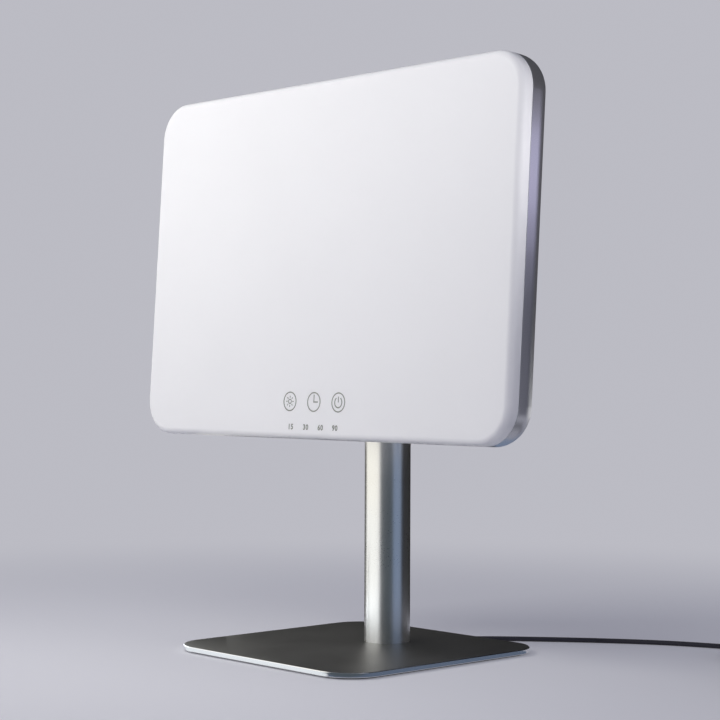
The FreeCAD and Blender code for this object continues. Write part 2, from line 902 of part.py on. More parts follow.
def make_panel_lead():
    """The lead from the tilt axis through the grommet and down to the control board."""
    run = lead_depth() - pivot_to_front
    bottom = control_high - connector_drop
    bend = Vector(0, run + lead_bend_radius, 0)
    after = Vector(0, run, -lead_bend_radius)
    centre = Vector(0, run + lead_bend_radius, -lead_bend_radius)
    middle = centre + Vector(0, -1, 1) * (lead_bend_radius / math.sqrt(2))
    wire = Part.Wire(
        [
            Part.LineSegment(Vector(0, 0, 0), bend).toShape(),
            Part.Arc(bend, middle, after).toShape(),
            Part.LineSegment(after, Vector(0, run, bottom)).toShape(),
        ]
    )
    return in_panel(swept_cord(wire, "panel lead"))


# ------------------------------------------------------------------ light engine
def led_places():
    """The grid of light-emitting diodes, left out where the control board sits."""
    columns = int(board_half_width / led_pitch_x - 0.5) + 1
    rows = int(board_half_height / led_pitch_z - 0.5) + 1
    gap_half = control_width / 2 + control_clearance + led_width
    gap_top = control_high + control_clearance + led_height
    places = []
    for column in range(-columns, columns):
        for row in range(-rows, rows):
            x = (column + 0.5) * led_pitch_x
            z = (row + 0.5) * led_pitch_z
            if abs(x - control_centre_x) > gap_half or z > gap_top:
                places.append((x, z))
    return places


def board_screw_places():
    """The light board's screws, midway between diodes."""
    xs = (2 * led_pitch_x, 5 * led_pitch_x)
    rise = 3 * led_pitch_z
    return [(s * x, t * rise) for x in xs for s in (-1, 1) for t in (-1, 1)]


def board_form(inset, front, back):
    """The light board's outline, drawn in by an inset, with the notch for the control board."""
    form = panel_slab(
        board_half_width - inset,
        board_half_height - inset,
        board_corner_radius - inset,
        front,
        back,
    )
    half = control_width / 2 + control_clearance + inset
    notch = depth_block(
        control_centre_x - half,
        control_centre_x + half,
        -panel_height / 2,
        control_high + control_clearance + inset,
        front,
        back,
    )
    return form.cut(notch)


def make_led_board():
    board = board_form(0, board_depth, board_back)
    hole = board_screw_diameter / 2 + loose_clearance
    holes = [depth_rod(hole, x, z, board_depth, board_back) for x, z in board_screw_places()]
    return in_panel(board.cut(holes))


def led_block(x, z, grow, front, back):
    half_x, half_z = led_width / 2 + grow, led_height / 2 + grow
    return depth_block(x - half_x, x + half_x, z - half_z, z + half_z, front, back)


def make_leds():
    front = board_depth - led_thickness
    return Part.makeCompound(
        [in_panel(led_block(x, z, 0, front, board_depth)) for x, z in led_places()]
    )


def make_reflector():
    """White tray over the light board: a floor with windows and a wall round its edge."""
    floor_front = board_depth - reflector_thickness
    wall_front = diffuser_wall + reflector_front_gap
    floor = board_form(0, floor_front, board_depth)
    outer = board_form(0, wall_front, floor_front)
    inner = board_form(reflector_wall, wall_front, floor_front)
    tray = joined([floor, outer.cut(inner)])
    cuts = [
        led_block(x, z, led_window_clearance, floor_front, board_depth) for x, z in led_places()
    ]
    hole = board_screw_diameter / 2 + loose_clearance
    cuts += [depth_rod(hole, x, z, floor_front, board_depth) for x, z in board_screw_places()]
    return in_panel(tray.cut(cuts))


def panel_screws(places, diameter, head_diameter, head_height, seat):
    """Pan-head screws from the front into the shell's bosses."""
    screws = []
    for x, z in places:
        shank = depth_rod(diameter / 2, x, z, seat, board_back + board_screw_bite)
        head = depth_rod(head_diameter / 2, x, z, seat - head_height, seat)
        screws.append(in_panel(joined([shank, head])))
    return Part.makeCompound(screws)


def make_led_board_screws():
    seat = board_depth - reflector_thickness
    return panel_screws(
        board_screw_places(),
        board_screw_diameter,
        board_screw_head_diameter,
        board_screw_head_height,
        seat,
    )


# ------------------------------------------------------------------ touch and timer control
def control_screw_places():
    reach = control_width / 2 - control_screw_inset
    low = control_low + control_screw_inset
    high = control_high - control_screw_inset
    return [(control_centre_x + s * reach, z) for s in (-1, 1) for z in (low, high)]


def make_control_board():
    half = control_width / 2
    board = depth_block(
        control_centre_x - half,
        control_centre_x + half,
        control_low,
        control_high,
        board_depth,
        board_back,
    )
    hole = control_screw_diameter / 2 + loose_clearance
    holes = [depth_rod(hole, x, z, board_depth, board_back) for x, z in control_screw_places()]
    return in_panel(board.cut(holes))


def make_control_board_screws():
    return panel_screws(
        control_screw_places(),
        control_screw_diameter,
        control_screw_head_diameter,
        control_screw_head_height,
        board_depth,
    )


def make_touch_contacts():
    """Conductive foam posts that carry each touch field from the board to the diffuser."""
    radius = touch_contact_diameter / 2
    return Part.makeCompound(
        [
            in_panel(depth_rod(radius, x, touch_row, diffuser_wall, board_depth))
            for x in touch_places
        ]
    )


def make_timer_leds():
    half = timer_led_size / 2
    low, high = timer_row - half, timer_row + half
    front = board_depth - timer_led_thickness
    return Part.makeCompound(
        [
            in_panel(depth_block(x - half, x + half, low, high, front, board_depth))
            for x in timer_places
        ]
    )


def make_timer_light_guides():
    """Clear rods that bring each timer light to the back of the diffuser."""
    front = diffuser_wall + timer_guide_gap
    back = board_depth - timer_led_thickness
    radius = timer_guide_diameter / 2
    return Part.makeCompound(
        [in_panel(depth_rod(radius, x, timer_row, front, back)) for x in timer_places]
    )


def make_control_parts():
    """The supply's choke, capacitor and driver, and the controller, on the board's back."""
    middle = (control_low + control_high) / 2
    quarter = control_width / 4

    def chip(x, z, side, height):
        half = side / 2
        return depth_block(x - half, x + half, z - half, z + half, board_back, board_back + height)

    parts = [
        chip(control_centre_x + quarter, middle - choke_side, choke_side, choke_height),
        chip(control_centre_x - quarter / 2, middle - driver_side, driver_side, driver_height),
        chip(control_centre_x + quarter / 4, middle - choke_side, controller_side, controller_height),
        depth_rod(
            capacitor_diameter / 2,
            control_centre_x - quarter,
            middle,
            board_back,
            board_back + capacitor_height,
        ),
    ]
    return Part.makeCompound([in_panel(part) for part in parts])


def make_power_connector():
    """The plug that ends the lead, on the control board's back."""
    half = connector_width / 2
    top = control_high - connector_drop
    housing = depth_block(
        -half, half, top - connector_height, top, board_back, board_back + connector_thickness
    )
    return in_panel(housing)


def make_board_jumper():
    """Flat jumper that bridges the gap between the control board and the light board."""
    middle = control_high + control_clearance / 2
    high_x = control_centre_x + control_width / 2 - jumper_inset
    jumper = depth_block(
        high_x - jumper_width,
        high_x,
        middle - jumper_height / 2,
        middle + jumper_height / 2,
        board_back,
        board_back + jumper_thickness,
    )
    return in_panel(jumper)


# ------------------------------------------------------------------ cord and adapter
def make_cord_tube():
    return swept_cord(round_path(cord_route, "cord"), "cord")


def make_cord_tail():
    return swept_cord(round_path(tail_route, "tail"), "tail")


def make_cord_coil():
    """The outer form of the put-away turns, which rest on their tie."""
    low = (coil_centre[0], coil_centre[1], coil_base)
    high = (coil_centre[0], coil_centre[1], coil_base + coil_height)
    return ring(coil_outer_radius, coil_inner_radius, low, high)


def coil_sector(outer, inner, low, high):
    """A stretch of a ring about the coil's middle, as wide as the tie."""
    foot = Vector(coil_centre[0], coil_centre[1], low)
    whole = Part.makeCylinder(outer, high - low, foot, Z, 2 * tie_half_angle)
    hole = Part.makeCylinder(inner, high - low, foot, Z, 2 * tie_half_angle)
    sector = whole.cut(hole)
    sector.rotate(foot, Z, tie_angle - tie_half_angle)
    return sector


def make_coil_tie():
    """A strap round the bundle of turns."""
    reach = tie_slack + tie_thickness
    top = coil_base + coil_height + tie_slack
    outside = coil_sector(
        coil_outer_radius + reach, coil_inner_radius - reach, 0, top + tie_thickness
    )
    inside = coil_sector(
        coil_outer_radius + tie_slack, coil_inner_radius - tie_slack, tie_thickness, top
    )
    return outside.cut(inside)


def at_adapter(shape):
    """Turns and moves a piece made along X from the relief's tip to where the adapter lies."""
    place = Placement(Vector(*adapter_relief_tip), Rotation(Z, adapter_heading))
    return shape.transformed(place.toMatrix(), True)


def make_adapter_relief():
    tip, root = adapter_relief_tip_diameter / 2, adapter_relief_root_diameter / 2
    return at_adapter(Part.makeCone(tip, root, adapter_relief_length, Vector(0, 0, 0), X))


def make_adapter_body():
    """Plug-in power supply that lies on its face, with its blades up."""
    floor = -adapter_relief_tip[2]
    start = adapter_relief_length
    body = block(
        (start, -adapter_width / 2, floor),
        (start + adapter_length, adapter_width / 2, floor + adapter_height),
    )
    body = body.makeFillet(adapter_edge_radius, body.Edges)
    slots = [blade(side, 0) for side in (-1, 1)]
    return at_adapter(body.cut(slots))


def blade(side, stand):
    """One flat blade; stand is how far it comes out of the adapter."""
    top = adapter_height - adapter_relief_tip[2]
    far_end = adapter_relief_length + adapter_length - blade_from_end
    middle = side * blade_spacing / 2
    return block(
        (far_end - blade_width, middle - blade_thickness / 2, top - blade_root),
        (far_end, middle + blade_thickness / 2, top + stand),
    )


def make_adapter_blades():
    return Part.makeCompound([at_adapter(blade(side, blade_length)) for side in (-1, 1)])


# ------------------------------------------------------------------ the pieces
pieces = {
    "base_plate": make_base_plate,
    "base_pad": make_base_pad,
    "base_screws": make_base_screws,
    "cord_relief": make_cord_relief,
    "post_foot": make_post_foot,
    "post_tube": make_post_tube,
    "post_head": make_post_head,
    "head_set_screws": make_head_set_screws,
    "post_lead": make_post_lead,
    "stop_pin": make_stop_pin,
    "friction_washers": make_friction_washers,
    "spring_washers": make_spring_washers,
    "pivot_screws": make_pivot_screws,
    "tilt_yoke": make_tilt_yoke,
    "yoke_screws": make_yoke_screws,
    "backing_plate": make_backing_plate,
    "lead_grommet": make_lead_grommet,
    "panel_lead": make_panel_lead,
    "rear_shell": make_rear_shell,
    "case_screws": make_case_screws,
    "diffuser": make_diffuser,
    "led_board": make_led_board,
    "leds": make_leds,
    "reflector": make_reflector,
    "led_board_screws": make_led_board_screws,
    "control_board": make_control_board,
    "control_board_screws": make_control_board_screws,
    "touch_contacts": make_touch_contacts,
    "timer_leds": make_timer_leds,
    "timer_light_guides": make_timer_light_guides,
    "control_parts": make_control_parts,
    "power_connector": make_power_connector,
    "board_jumper": make_board_jumper,
    "cord_tube": make_cord_tube,
    "cord_coil": make_cord_coil,
    "coil_tie": make_coil_tie,
    "cord_tail": make_cord_tail,
    "adapter_relief": make_adapter_relief,
    "adapter_body": make_adapter_body,
    "adapter_blades": make_adapter_blades,
}

os.makedirs("parts", exist_ok=True)
for name, make in pieces.items():
    shape = make()
    volume = round(shape.Volume / 1000, 2)
    print(name, len(shape.Solids), "solids", volume, "cm3", "valid", shape.isValid())
    shape.exportStep(f"parts/{name}.step")
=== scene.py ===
import math

import bmesh
import bpy
import numpy as np
from mathutils import Matrix, Vector


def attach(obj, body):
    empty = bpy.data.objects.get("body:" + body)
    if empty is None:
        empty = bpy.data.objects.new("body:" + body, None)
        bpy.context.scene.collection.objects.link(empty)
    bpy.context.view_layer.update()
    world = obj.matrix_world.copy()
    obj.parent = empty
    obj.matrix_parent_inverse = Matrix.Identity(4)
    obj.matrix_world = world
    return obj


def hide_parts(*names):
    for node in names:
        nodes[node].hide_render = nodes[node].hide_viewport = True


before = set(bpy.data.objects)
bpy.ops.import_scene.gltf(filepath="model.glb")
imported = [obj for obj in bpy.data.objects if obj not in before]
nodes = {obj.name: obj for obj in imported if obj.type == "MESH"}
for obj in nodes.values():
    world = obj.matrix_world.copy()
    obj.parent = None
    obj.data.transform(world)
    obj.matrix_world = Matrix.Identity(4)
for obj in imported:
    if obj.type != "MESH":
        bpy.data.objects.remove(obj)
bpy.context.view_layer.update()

# ------------------------------------------------------------------ view
# The lamp is seen from its right and front, from a little below the middle of the panel and
# through a long lens, so that the plate is almost edge on.
heading = math.radians(47.0581)
rise = math.radians(0.5048)
roll = math.radians(0.2201)
eye = (0.81598, -0.75704, 0.169)

forward = Vector((-math.sin(heading), math.cos(heading), math.tan(rise))).normalized()
level_right = Vector((math.cos(heading), math.sin(heading), 0.0))
level_up = level_right.cross(forward)
right = level_right * math.cos(roll) + level_up * math.sin(roll)
up = level_up * math.cos(roll) - level_right * math.sin(roll)


def new_object(name, data):
    """An object of that name in the scene, with its data, at the origin."""
    made = bpy.data.objects.new(name, data)
    bpy.context.scene.collection.objects.link(made)
    return made


camera = new_object("camera", bpy.data.cameras.new("camera"))
camera.data.lens = 90.52
camera.data.sensor_width = 36.0
camera.data.clip_start = 0.05
turned_to = Matrix((right, up, -forward)).transposed().to_4x4()
camera.matrix_world = Matrix.Translation(eye) @ turned_to
bpy.context.scene.camera = camera
bpy.context.scene.view_settings.view_transform = "Standard"


# ------------------------------------------------------------------ base plate
# A square of 3 mm steel with large corner arcs and a small chamfer all round. Its top is
# blasted with fine grit and clear-coated, satin. Its dark grey colour is a painted reflection
# of dark surroundings on metal as pale as its ground edges, which keep their bright colour.
def new_finish(name):
    """A material with its node tree, its shader and its object coordinates."""
    material = bpy.data.materials.new(name)
    material.use_nodes = True
    tree = material.node_tree
    place = tree.nodes.new("ShaderNodeTexCoord").outputs["Object"]
    return material, tree, tree.nodes["Principled BSDF"], place


def noise_of(tree, place, size, detail=3.0):
    """A noise whose blotches are about size metres across."""
    noise = tree.nodes.new("ShaderNodeTexNoise")
    noise.inputs["Scale"].default_value = 1.0 / size
    noise.inputs["Detail"].default_value = detail
    tree.links.new(place, noise.inputs["Vector"])
    return noise.outputs["Fac"]


def between(tree, factor, low, high):
    """A value that goes from low to high as the middle of a noise goes from dark to light."""
    span = tree.nodes.new("ShaderNodeMapRange")
    span.inputs["From Min"].default_value = 0.3
    span.inputs["From Max"].default_value = 0.7
    span.inputs["To Min"].default_value = low
    span.inputs["To Max"].default_value = high
    tree.links.new(factor, span.inputs["Value"])
    return span.outputs["Result"]


def tinted(tree, factor, colour, spread):
    """A colour that varies to each side by a share of itself."""
    tint = tree.nodes.new("ShaderNodeMix")
    tint.data_type = "RGBA"
    tint.inputs["A"].default_value = (*[c * (1 - spread) for c in colour], 1)
    tint.inputs["B"].default_value = (*[min(1.0, c * (1 + spread)) for c in colour], 1)
    tree.links.new(between(tree, factor, 0.0, 1.0), tint.inputs["Factor"])
    return tint.outputs["Result"]


def raised(tree, factor, height, below=None):
    """A bump of that height in metres, laid over the bump below it."""
    bump = tree.nodes.new("ShaderNodeBump")
    bump.inputs["Distance"].default_value = height
    tree.links.new(factor, bump.inputs["Height"])
    if below:
        tree.links.new(below, bump.inputs["Normal"])
    return bump.outputs["Normal"]


def grained(
    name, colour, roughness, grain, height, spread=0.08, patch=0.03, squeeze=(1, 1, 1), **fixed
):
    """A finish with a fine grain in its colour, gloss and height, and wider, fainter patches
    in its colour and gloss. Grain and patch are sizes in metres, squeeze makes the grain finer
    along an axis, and fixed sets other sockets."""
    material, tree, shader, place = new_finish(name)
    squeezed = tree.nodes.new("ShaderNodeVectorMath")
    squeezed.operation = "MULTIPLY"
    squeezed.inputs[1].default_value = squeeze
    tree.links.new(place, squeezed.inputs[0])
    fine = noise_of(tree, squeezed.outputs["Vector"], grain)
    wide = noise_of(tree, place, patch, detail=2.0)
    both = tree.nodes.new("ShaderNodeMath")
    both.operation = "MULTIPLY_ADD"
    both.inputs[1].default_value = 0.5
    tree.links.new(fine, both.inputs[0])
    half = tree.nodes.new("ShaderNodeMath")
    half.operation = "MULTIPLY"
    half.inputs[1].default_value = 0.5
    tree.links.new(wide, half.inputs[0])
    tree.links.new(half.outputs["Value"], both.inputs[2])
    mixed = both.outputs["Value"]
    tree.links.new(tinted(tree, mixed, colour, spread), shader.inputs["Base Color"])
    gloss = between(tree, mixed, roughness * 0.88, min(1.0, roughness * 1.12))
    tree.links.new(gloss, shader.inputs["Roughness"])
    tree.links.new(raised(tree, fine, height), shader.inputs["Normal"])
    for socket, value in fixed.items():
        shader.inputs[socket.replace("_", " ")].default_value = value
    return material


def dress(piece, *materials):
    """Gives a piece its finishes, in the order of its material slots."""
    piece.data.materials.clear()
    for material in materials:
        piece.data.materials.append(material)


def bright_below(material, level, colour, roughness):
    """Blends a finish into a brighter one within a tenth of a millimetre below a level."""
    tree = material.node_tree
    shader = tree.nodes["Principled BSDF"]
    height = tree.nodes.new("ShaderNodeSeparateXYZ")
    place = tree.nodes["Texture Coordinate"].outputs["Object"]
    tree.links.new(place, height.inputs["Vector"])
    mask = tree.nodes.new("ShaderNodeMapRange")
    mask.inputs["From Min"].default_value = level
    mask.inputs["From Max"].default_value = level - 0.0001
    tree.links.new(height.outputs["Z"], mask.inputs["Value"])
    for socket, value in (("Base Color", (*colour, 1)), ("Roughness", (roughness,) * 3 + (1,))):
        blend = tree.nodes.new("ShaderNodeMix")
        blend.data_type = "RGBA"
        tree.links.new(mask.outputs["Result"], blend.inputs["Factor"])
        tree.links.new(shader.inputs[socket].links[0].from_socket, blend.inputs["A"])
        blend.inputs["B"].default_value = value
        tree.links.new(blend.outputs["Result"], shader.inputs[socket])


plate_top = 0.004
# Painted reflection: the top's dark grey colour stands in for dark surroundings seen in the metal.
steel_with_painted_dark_top = grained(
    "steel with painted dark top", (0.30, 0.296, 0.288), roughness=0.42, grain=0.0008, height=0.000006,
    spread=0.10, patch=0.05, Metallic=1.0,
)
# Below the top's level the painted dark colour gives way to the bare metal's own bright colour.
edge_level = plate_top - 0.00005
bright_below(steel_with_painted_dark_top, edge_level, colour=(0.90, 0.905, 0.91), roughness=0.16)
dress(nodes["base_plate"], steel_with_painted_dark_top)

# ------------------------------------------------------------------ underside
# A die-cut rubber pad under the plate keeps it off the table; three countersunk screws and
# the cord's moulded relief go through the plate into the post's foot.
sheet_rubber = grained(
    "sheet rubber", (0.022, 0.022, 0.024), roughness=0.85, grain=0.0009, height=0.00006, spread=0.2
)
moulded_rubber = grained(
    "moulded rubber", (0.028, 0.028, 0.031), roughness=0.62, grain=0.0008, height=0.00002,
    spread=0.15,
)
zinc_plate = grained(
    "zinc plate", (0.62, 0.63, 0.64), roughness=0.30, grain=0.0004, height=0.000004, spread=0.10,
    patch=0.003, Metallic=1.0,
)
dress(nodes["base_pad"], sheet_rubber)
dress(nodes["base_screws"], zinc_plate)
dress(nodes["cord_relief"], moulded_rubber)


# ------------------------------------------------------------------ post
# A drawn aluminium tube, blasted finely and anodised clear, on a turned foot and with a
# turned head pressed in and held by two set screws at the back.
post_axis = (0.0, 0.0263, 0.0)


def turned(name, colour, roughness, centre, along_x=False, pitch=0.0004, height=0.000004):
    """A finish with fine rings round an axis: a noise read at the distance from the axis and
    at the place along it, so that it doesn't change round the axis."""
    material, tree, shader, place = new_finish(name)
    centred = tree.nodes.new("ShaderNodeVectorMath")
    centred.operation = "SUBTRACT"
    centred.inputs[1].default_value = centre
    tree.links.new(place, centred.inputs[0])
    across = tree.nodes.new("ShaderNodeVectorMath")
    across.operation = "MULTIPLY"
    across.inputs[1].default_value = (0, 1, 1) if along_x else (1, 1, 0)
    tree.links.new(centred.outputs["Vector"], across.inputs[0])
    reach = tree.nodes.new("ShaderNodeVectorMath")
    reach.operation = "LENGTH"
    tree.links.new(across.outputs["Vector"], reach.inputs[0])
    parts = tree.nodes.new("ShaderNodeSeparateXYZ")
    tree.links.new(centred.outputs["Vector"], parts.inputs["Vector"])
    rings = tree.nodes.new("ShaderNodeCombineXYZ")
    tree.links.new(reach.outputs["Value"], rings.inputs["X"])
    tree.links.new(parts.outputs["X" if along_x else "Z"], rings.inputs["Y"])
    lines = noise_of(tree, rings.outputs["Vector"], pitch, detail=2.0)
    tree.links.new(tinted(tree, lines, colour, spread=0.06), shader.inputs["Base Color"])
    gloss = between(tree, lines, roughness * 0.85, roughness * 1.15)
    tree.links.new(gloss, shader.inputs["Roughness"])
    tree.links.new(raised(tree, lines, height), shader.inputs["Normal"])
    shader.inputs["Metallic"].default_value = 1.0
    return material


def softened(name, node, body, finish, width):
    """A node's own form with its edges rounded over by a width: its triangles are joined, its
    flat faces made whole again, and a bevel runs along each edge sharper than 30 degrees."""
    same_place, same_plane, sharp = 0.000001, math.radians(0.5), math.radians(30)
    form = bmesh.new()
    form.from_mesh(nodes[node].data)
    bmesh.ops.remove_doubles(form, verts=form.verts, dist=same_place)
    bmesh.ops.dissolve_limit(form, angle_limit=same_plane, verts=form.verts, edges=form.edges)
    mesh = bpy.data.meshes.new(name)
    form.to_mesh(mesh)
    form.free()
    mesh.shade_smooth()
    mesh.set_sharp_from_angle(angle=sharp)
    piece = new_object(name, mesh)
    bevel = piece.modifiers.new("bevel", "BEVEL")
    bevel.width = width
    bevel.segments = 2
    bevel.limit_method = "ANGLE"
    bevel.angle_limit = sharp
    bevel.harden_normals = True
    dress(piece, finish)
    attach(piece, body)
    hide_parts(node)


anodised = grained(
    "anodised aluminium", (0.83, 0.825, 0.81), roughness=0.30, grain=0.0011, height=0.000008,
    spread=0.06, patch=0.04, squeeze=(1, 1, 2.5), Metallic=1.0,
)
turned_aluminium = turned(
    "turned aluminium", (0.72, 0.72, 0.71), roughness=0.26, centre=post_axis
)
softened("drawn_tube", "post_tube", "stand", anodised, width=0.0004)
softened("turned_head", "post_head", "stand", turned_aluminium, width=0.0003)
dress(nodes["post_foot"], turned_aluminium)
dress(nodes["head_set_screws"], zinc_plate)

# ------------------------------------------------------------------ tilt hinge
# A cast yoke on the panel's back straddles the head. Shoulder screws, nylon washers and
# spring washers clamp it; a pin in a curved slot of the right ear ends the tilt.
tilt_axis = (0.0, 0.0263, 0.2361)
cast_aluminium = grained(
    "cast aluminium", (0.58, 0.585, 0.59), roughness=0.42, grain=0.0009, height=0.00003,
    spread=0.10, patch=0.02, Metallic=1.0,
)
turned_steel = turned(
    "turned steel", (0.55, 0.55, 0.56), roughness=0.22, centre=tilt_axis, along_x=True
)
nylon = grained(
    "nylon", (0.74, 0.71, 0.64), roughness=0.48, grain=0.0008, height=0.00001, spread=0.05,
    Subsurface_Weight=0.15, Subsurface_Scale=0.001,
)
softened("cast_yoke", "tilt_yoke", "panel", cast_aluminium, width=0.0005)
dress(nodes["pivot_screws"], turned_steel)
dress(nodes["spring_washers"], turned_steel)
dress(nodes["stop_pin"], turned_steel)
dress(nodes["friction_washers"], nylon)

# ------------------------------------------------------------------ leads
# The jacketed lead comes up inside the post, crosses the hinge in the head's slot and goes
# through a rubber bush in the panel's back.
jacket = grained(
    "cord jacket", (0.036, 0.033, 0.045), roughness=0.42, grain=0.0012, height=0.00002, spread=0.12,
    patch=0.02,
)
for name in ("post_lead", "panel_lead"):
    dress(nodes[name], jacket)
dress(nodes["lead_grommet"], moulded_rubber)

# ------------------------------------------------------------------ rear shell
# The moulded back cover has a silver paint under a thin clear coat, with fine flakes and a
# trace of orange peel. A galvanised sheet inside it takes the screws of the yoke.
def flaked(name, colour, roughness):
    """A metallic paint: flakes tilt the normal and change the gloss, under a clear coat."""
    material, tree, shader, place = new_finish(name)
    flakes = noise_of(tree, place, size=0.0005, detail=1.0)
    peel = noise_of(tree, place, size=0.004, detail=1.0)
    wide = noise_of(tree, place, size=0.06, detail=2.0)
    tree.links.new(tinted(tree, flakes, colour, spread=0.07), shader.inputs["Base Color"])
    gloss = between(tree, wide, roughness * 0.96, roughness * 1.04)
    tree.links.new(gloss, shader.inputs["Roughness"])
    rough = raised(tree, flakes, height=0.000004)
    tree.links.new(raised(tree, peel, height=0.000003, below=rough), shader.inputs["Normal"])
    shader.inputs["Metallic"].default_value = 0.92
    shader.inputs["Coat Weight"].default_value = 0.25
    shader.inputs["Coat Roughness"].default_value = 0.15
    return material


silver_paint = flaked("silver paint", (0.64, 0.645, 0.67), roughness=0.31)
dress(nodes["rear_shell"], silver_paint)
spangled = grained(
    "galvanised sheet", (0.60, 0.62, 0.63), roughness=0.35, grain=0.004, height=0.000004,
    spread=0.12, patch=0.012, Metallic=1.0,
)
dress(nodes["backing_plate"], spangled)

# ------------------------------------------------------------------ light engine
# Ninety-two white diodes on an aluminium-core board, under a white tray with a window for
# each, screwed to bosses of the shell.
board_enamel = grained(
    "white board enamel", (0.82, 0.83, 0.80), roughness=0.45, grain=0.0010, height=0.000008,
    spread=0.03,
)
phosphor = grained(
    "diode phosphor", (0.80, 0.66, 0.20), roughness=0.40, grain=0.0010, height=0.000010, spread=0.10
)
white_film = grained(
    "white film", (0.86, 0.86, 0.86), roughness=0.70, grain=0.0012, height=0.000010, spread=0.02
)
dress(nodes["led_board"], board_enamel)
dress(nodes["leds"], phosphor)
dress(nodes["reflector"], white_film)
dress(nodes["led_board_screws"], zinc_plate)

# ------------------------------------------------------------------ controls
# A small circuit board behind the marks carries the touch contacts, a diode with a clear
# guide for each numeral, the driver's parts and the plugs.
solder_mask = grained(
    "green solder mask", (0.03, 0.16, 0.07), roughness=0.35, grain=0.0020, height=0.000015,
    spread=0.25,
)
foam = grained(
    "conductive foam", (0.05, 0.05, 0.055), roughness=0.9, grain=0.0008, height=0.00008, spread=0.3
)
clear_guide = grained(
    "clear guide", (0.95, 0.95, 0.95), roughness=0.12, grain=0.0030, height=0.000005, spread=0.02,
    Transmission_Weight=1.0, IOR=1.49,
)
part_black = grained(
    "component black", (0.03, 0.03, 0.032), roughness=0.5, grain=0.0006, height=0.000015,
    spread=0.15,
)
dress(nodes["control_board"], solder_mask)
dress(nodes["control_board_screws"], zinc_plate)
dress(nodes["touch_contacts"], foam)
dress(nodes["timer_leds"], phosphor)
dress(nodes["timer_light_guides"], clear_guide)
dress(nodes["power_connector"], nylon)
for name in ("control_parts", "board_jumper"):
    dress(nodes[name], part_black)


# ------------------------------------------------------------------ opal front
# A tray moulded in opal acrylic, 2.2 mm thick, with a satin skin: a flat face, an edge
# rounded all round, and a rim that meets the shell in a fine open seam.
def rounded_outline(half_width, half_height, corner, steps):
    """Points round a rectangle with arc corners, anticlockwise from the right side."""
    turn = np.linspace(0, math.pi / 2, steps)
    quarters = []
    for n, (side, level) in enumerate(((1, 1), (-1, 1), (-1, -1), (1, -1))):
        x = side * (half_width - corner) + corner * np.cos(turn + n * math.pi / 2)
        z = level * (half_height - corner) + corner * np.sin(turn + n * math.pi / 2)
        quarters.append(np.stack([x, z], 1))
    return np.concatenate(quarters)


def surface(name, rings, body, finish, looped=False, crease=35.0):
    """A closed skin over rings of points: quads join each ring to the next, and the ends are
    flat faces, or the last ring joins the first. Its faces are turned to point outwards."""
    count, around = rings.shape[:2]
    ring = np.arange(count if looped else count - 1)[:, None]
    here = np.arange(around)[None, :]
    after = (here + 1) % around
    start, end = ring * around, (ring + 1) % count * around
    quads = np.stack([start + here, start + after, end + after, end + here], -1)
    faces = quads.reshape(-1, 4).tolist()
    if not looped:
        faces.append(list(range(around))[::-1])
        faces.append(list(range((count - 1) * around, count * around)))
    mesh = bpy.data.meshes.new(name)
    mesh.from_pydata(rings.reshape(-1, 3).tolist(), [], faces)
    mesh.calc_loop_triangles()
    # A negative volume inside the triangles means that they point inwards.
    corners = np.array([t.vertices[:] for t in mesh.loop_triangles])
    a, b, c = np.moveaxis(rings.reshape(-1, 3)[corners] - rings.mean((0, 1)), 1, 0)
    if np.einsum("ij,ij->", a, np.cross(b, c)) < 0:
        mesh.flip_normals()
    mesh.shade_smooth()
    mesh.set_sharp_from_angle(angle=math.radians(crease))
    piece = new_object(name, mesh)
    dress(piece, finish)
    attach(piece, body)
    return piece


front_offset = -0.0610  # from the tilt axis to the panel's face
panel_half = (0.162, 0.109)
panel_corner = 0.0225
lean = np.array(Matrix.Rotation(math.radians(-3.56), 3, "X"))


def in_panel(across, depth, level):
    """Points of the panel, from their places across and up its face and behind it."""
    upright = np.stack(np.broadcast_arrays(across, depth + front_offset, level), -1)
    return upright @ lean.T + np.array(tilt_axis)


def panel_ring(inset, depth):
    """The panel's outline drawn in by an inset, at a depth behind the face."""
    outline = rounded_outline(
        panel_half[0] - inset, panel_half[1] - inset, panel_corner - inset, steps=17
    )
    return in_panel(outline[:, 0], depth, outline[:, 1])


def arc(centre, radius, first, last, steps):
    """Points (inset, depth) on an arc between two angles in degrees."""
    turn = np.radians(np.linspace(first, last, steps))
    return [(centre[0] + radius * math.cos(a), centre[1] + radius * math.sin(a)) for a in turn]


wall = 0.0022
front_round = 0.0042
rim_depth = 0.0084
rim_in, rim_out = 0.0003, 0.0005  # rounds of the rim's two edges
inner_round = front_round - wall
front_profile = arc((wall + inner_round, wall + inner_round), inner_round, 270, 180, 7)
front_profile += arc((wall + rim_in, rim_depth - rim_in), rim_in, 180, 90, 4)
front_profile += arc((rim_out, rim_depth - rim_out), rim_out, 90, 180, 6)
front_profile += arc((front_round, front_round), front_round, 180, 270, 15)
front_rings = np.array([panel_ring(inset, depth) for inset, depth in front_profile])


def opal(name, colour, roughness):
    """Translucent acrylic with a satin skin: light goes a few millimetres into it."""
    material, tree, shader, place = new_finish(name)
    skin = noise_of(tree, place, size=0.0008, detail=2.0)
    wide = noise_of(tree, place, size=0.08, detail=1.0)
    tree.links.new(tinted(tree, wide, colour, spread=0.008), shader.inputs["Base Color"])
    gloss = between(tree, skin, roughness * 0.9, roughness * 1.1)
    tree.links.new(gloss, shader.inputs["Roughness"])
    tree.links.new(raised(tree, skin, height=0.000003), shader.inputs["Normal"])
    shader.inputs["Subsurface Weight"].default_value = 0.5
    shader.inputs["Subsurface Radius"].default_value = (1.0, 1.0, 1.0)
    shader.inputs["Subsurface Scale"].default_value = 0.0015
    shader.inputs["IOR"].default_value = 1.49
    return material


opal_acrylic = opal("opal acrylic", (0.90, 0.90, 0.905), roughness=0.38)
opal_front = surface("opal_front", front_rings, "panel", opal_acrylic)
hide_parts("diffuser")


